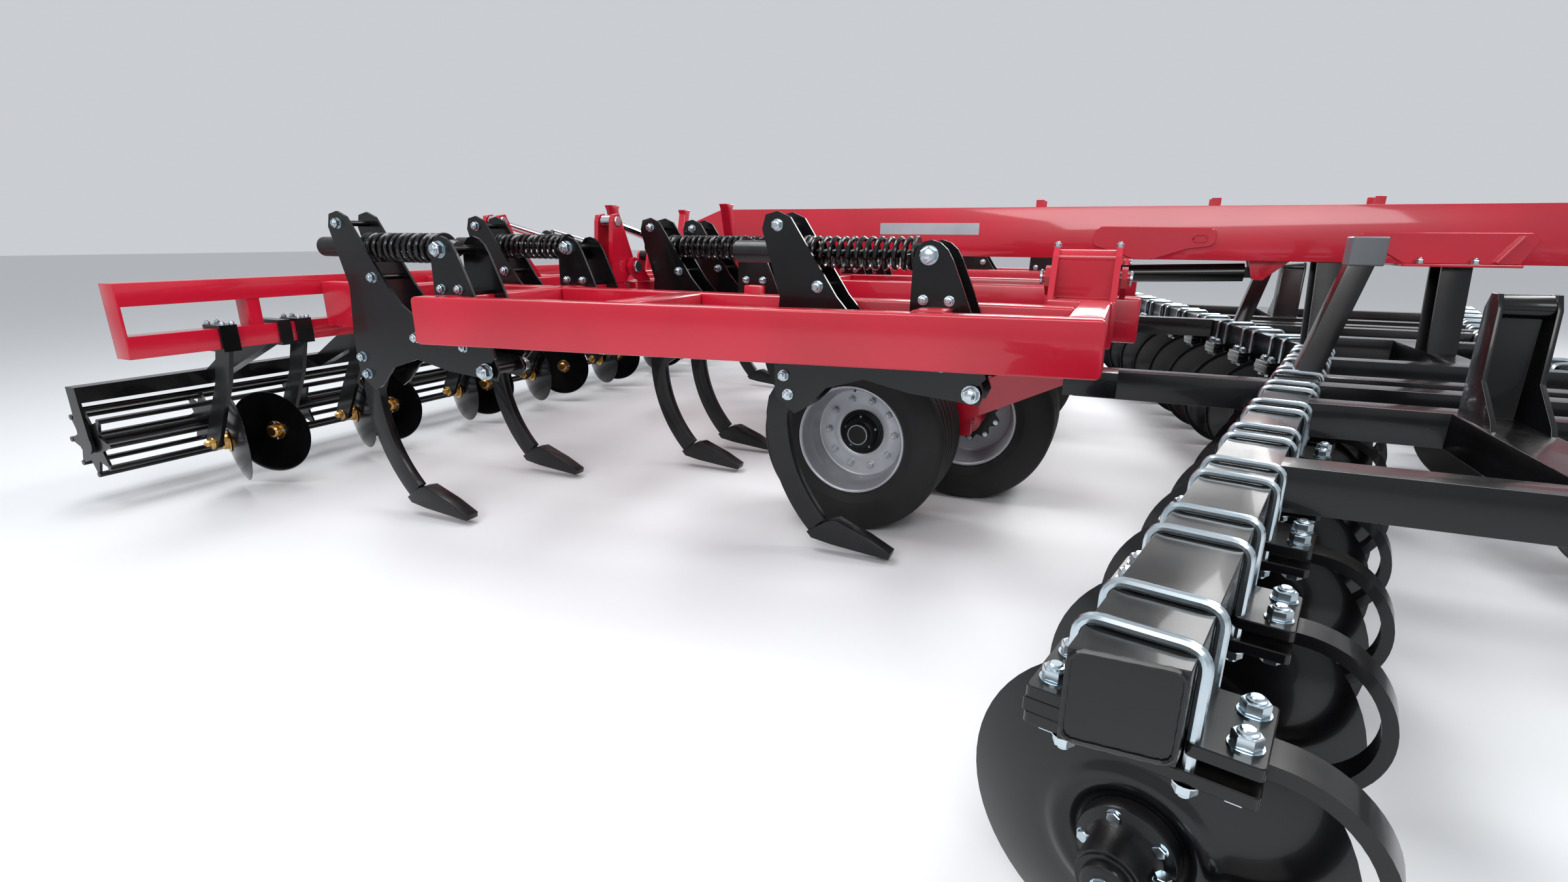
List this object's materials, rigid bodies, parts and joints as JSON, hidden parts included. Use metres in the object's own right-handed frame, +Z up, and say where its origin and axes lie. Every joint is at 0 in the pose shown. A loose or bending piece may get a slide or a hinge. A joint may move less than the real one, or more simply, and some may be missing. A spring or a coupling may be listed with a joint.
{
  "type": "folding combination cultivator",
  "caption": "Towed cultivator with a wheeled centre frame and folding wings, carrying disc gangs, sprung tines, levelling discs and cage rollers.",
  "frame": {"origin": "on the ground, on the centre line, under the middle of the overall length", "axes": "+X forward towards the hitch, +Y to the machine's left, +Z up"},
  "size_m": [9.27, 7.52, 1.56],
  "materials": {
    "red_paint": "gloss enamel",
    "black_paint": "gloss enamel",
    "rim_silver": "satin enamel",
    "tyre_rubber": "matt rubber",
    "disc_steel": "gloss enamel",
    "hard_chrome": "polished"
  },
  "bodies": {
    "centre_frame": {"centre_cross_tubes": "red_paint", "centre_side_tubes": "red_paint", "centre_knuckles": "red_paint", "tongue": "red_paint", "drawbar_eye": "black_paint", "jack_tube": "black_paint", "centre_gang_frame": "black_paint", "centre_disc_arms": "black_paint", "centre_discs": "disc_steel", "centre_trip_frames": "black_paint", "centre_tines": "black_paint", "centre_springs": "black_paint", "centre_rear_frame": "red_paint", "centre_rear_arms": "black_paint", "centre_level_discs": "disc_steel"},
    "jack_leg": {"jack_leg": "black_paint"},
    "rockshaft": {"rockshaft": "red_paint"},
    "lift_barrel": {"lift_barrel": "black_paint"},
    "lift_rod": {"lift_rod": "hard_chrome"},
    "centre_roller": {"centre_roller": "black_paint"},
    "wing_left": {"wing_cross_tubes_left": "red_paint", "wing_long_tubes_left": "red_paint", "wing_knuckles_left": "red_paint", "wing_gang_frame_left": "black_paint", "wing_disc_arms_left": "black_paint", "wing_discs_left": "disc_steel", "wing_trip_frames_left": "black_paint", "wing_tines_left": "black_paint", "wing_springs_left": "black_paint", "wing_rear_frame_left": "red_paint", "wing_rear_arms_left": "black_paint", "wing_level_discs_left": "disc_steel"},
    "fold_barrels_left": {"fold_barrels_left": "black_paint"},
    "fold_rods_left": {"fold_rods_left": "hard_chrome"},
    "walking_beam_left": {"walking_beam_left": "red_paint"},
    "wing_roller_left": {"wing_roller_left": "black_paint"},
    "wheel_outer_left": {"wheel_outer_left": "rim_silver", "tyre_outer_left": "tyre_rubber"},
    "wheel_inner_left": {"wheel_inner_left": "rim_silver", "tyre_inner_left": "tyre_rubber"},
    "wing_right": {"wing_cross_tubes_right": "red_paint", "wing_long_tubes_right": "red_paint", "wing_knuckles_right": "red_paint", "wing_gang_frame_right": "black_paint", "wing_disc_arms_right": "black_paint", "wing_discs_right": "disc_steel", "wing_trip_frames_right": "black_paint", "wing_tines_right": "black_paint", "wing_springs_right": "black_paint", "wing_rear_frame_right": "red_paint", "wing_rear_arms_right": "black_paint", "wing_level_discs_right": "disc_steel"},
    "fold_barrels_right": {"fold_barrels_right": "black_paint"},
    "fold_rods_right": {"fold_rods_right": "hard_chrome"},
    "walking_beam_right": {"walking_beam_right": "red_paint"},
    "wing_roller_right": {"wing_roller_right": "black_paint"},
    "wheel_outer_right": {"wheel_outer_right": "rim_silver", "tyre_outer_right": "tyre_rubber"},
    "wheel_inner_right": {"wheel_inner_right": "rim_silver", "tyre_inner_right": "tyre_rubber"}
  },
  "joints": [
    {"name": "wing_fold_left", "type": "hinge", "parent": "centre_frame", "child": "wing_left", "pos_m": [-1.4, 1.15, 1.2], "axis": [1, 0, 0], "range_deg": [0, 90]},
    {"name": "fold_barrel_swing_left", "type": "hinge", "parent": "centre_frame", "child": "fold_barrels_left", "pos_m": [-1.4, 0.25, 1.22], "axis": [1, 0, 0], "range_deg": [-7, 1]},
    {"name": "fold_rod_slide_left", "type": "slide", "parent": "fold_barrels_left", "child": "fold_rods_left", "axis": [0, 0.9766, 0.2149], "range_m": [-0.3601, 0.001]},
    {"name": "walking_beam_pivot_left", "type": "hinge", "parent": "rockshaft", "child": "walking_beam_left", "pos_m": [-0.595, 1.06, 0.45], "axis": [0, 1, 0], "range_deg": [-23, 1]},
    {"name": "wing_roller_spin_left", "type": "hinge", "parent": "wing_left", "child": "wing_roller_left", "pos_m": [-4.45, 2.03, 0.335], "axis": [0, 1, 0], "continuous": true},
    {"name": "wheel_spin_outer_left", "type": "hinge", "parent": "walking_beam_left", "child": "wheel_outer_left", "pos_m": [-0.8, 1.395, 0.45], "axis": [0, 1, 0], "continuous": true},
    {"name": "wheel_spin_inner_left", "type": "hinge", "parent": "walking_beam_left", "child": "wheel_inner_left", "pos_m": [-0.39, 0.725, 0.45], "axis": [0, 1, 0], "continuous": true},
    {"name": "wing_fold_right", "type": "hinge", "parent": "centre_frame", "child": "wing_right", "pos_m": [-1.4, -1.15, 1.2], "axis": [-1, 0, 0], "range_deg": [0, 90]},
    {"name": "fold_barrel_swing_right", "type": "hinge", "parent": "centre_frame", "child": "fold_barrels_right", "pos_m": [-1.4, -0.25, 1.22], "axis": [-1, 0, 0], "range_deg": [-7, 1]},
    {"name": "fold_rod_slide_right", "type": "slide", "parent": "fold_barrels_right", "child": "fold_rods_right", "axis": [0, -0.9766, 0.2149], "range_m": [-0.3601, 0.001]},
    {"name": "walking_beam_pivot_right", "type": "hinge", "parent": "rockshaft", "child": "walking_beam_right", "pos_m": [-0.595, -1.06, 0.45], "axis": [0, 1, 0], "range_deg": [-23, 1]},
    {"name": "wing_roller_spin_right", "type": "hinge", "parent": "wing_right", "child": "wing_roller_right", "pos_m": [-4.45, -2.03, 0.335], "axis": [0, 1, 0], "continuous": true},
    {"name": "wheel_spin_outer_right", "type": "hinge", "parent": "walking_beam_right", "child": "wheel_outer_right", "pos_m": [-0.8, -1.395, 0.45], "axis": [0, 1, 0], "continuous": true},
    {"name": "wheel_spin_inner_right", "type": "hinge", "parent": "walking_beam_right", "child": "wheel_inner_right", "pos_m": [-0.39, -0.725, 0.45], "axis": [0, 1, 0], "continuous": true},
    {"name": "jack_slide", "type": "slide", "parent": "centre_frame", "child": "jack_leg", "axis": [0, 0, 1], "range_m": [0, 0.35]},
    {"name": "rockshaft_lift", "type": "hinge", "parent": "centre_frame", "child": "rockshaft", "pos_m": [0.08, 0, 0.8], "axis": [0, 1, 0], "range_deg": [0, 22]},
    {"name": "lift_barrel_swing", "type": "hinge", "parent": "centre_frame", "child": "lift_barrel", "pos_m": [0.96, 0, 1.2], "axis": [0, 1, 0], "range_deg": [-2, 2]},
    {"name": "lift_rod_slide", "type": "slide", "parent": "lift_barrel", "child": "lift_rod", "axis": [-0.9995, 0, -0.0331], "range_m": [-0.1503, 0.001]},
    {"name": "centre_roller_spin", "type": "hinge", "parent": "centre_frame", "child": "centre_roller", "pos_m": [-4.45, 0, 0.335], "axis": [0, 1, 0], "continuous": true}
  ],
  "couplings": [
    {"joint": "fold_barrel_swing_left", "follows": "wing_fold_left", "ratio": -0.06107},
    {"joint": "fold_rod_slide_left", "follows": "wing_fold_left", "m_per_rad": -0.2286},
    {"joint": "walking_beam_pivot_left", "follows": "rockshaft_lift", "ratio": -1},
    {"joint": "fold_barrel_swing_right", "follows": "wing_fold_right", "ratio": -0.06107},
    {"joint": "fold_rod_slide_right", "follows": "wing_fold_right", "m_per_rad": -0.2286},
    {"joint": "walking_beam_pivot_right", "follows": "rockshaft_lift", "ratio": -1},
    {"joint": "lift_barrel_swing", "follows": "rockshaft_lift", "ratio": 0.08563},
    {"joint": "lift_rod_slide", "follows": "rockshaft_lift", "m_per_rad": -0.38885}
  ]
}
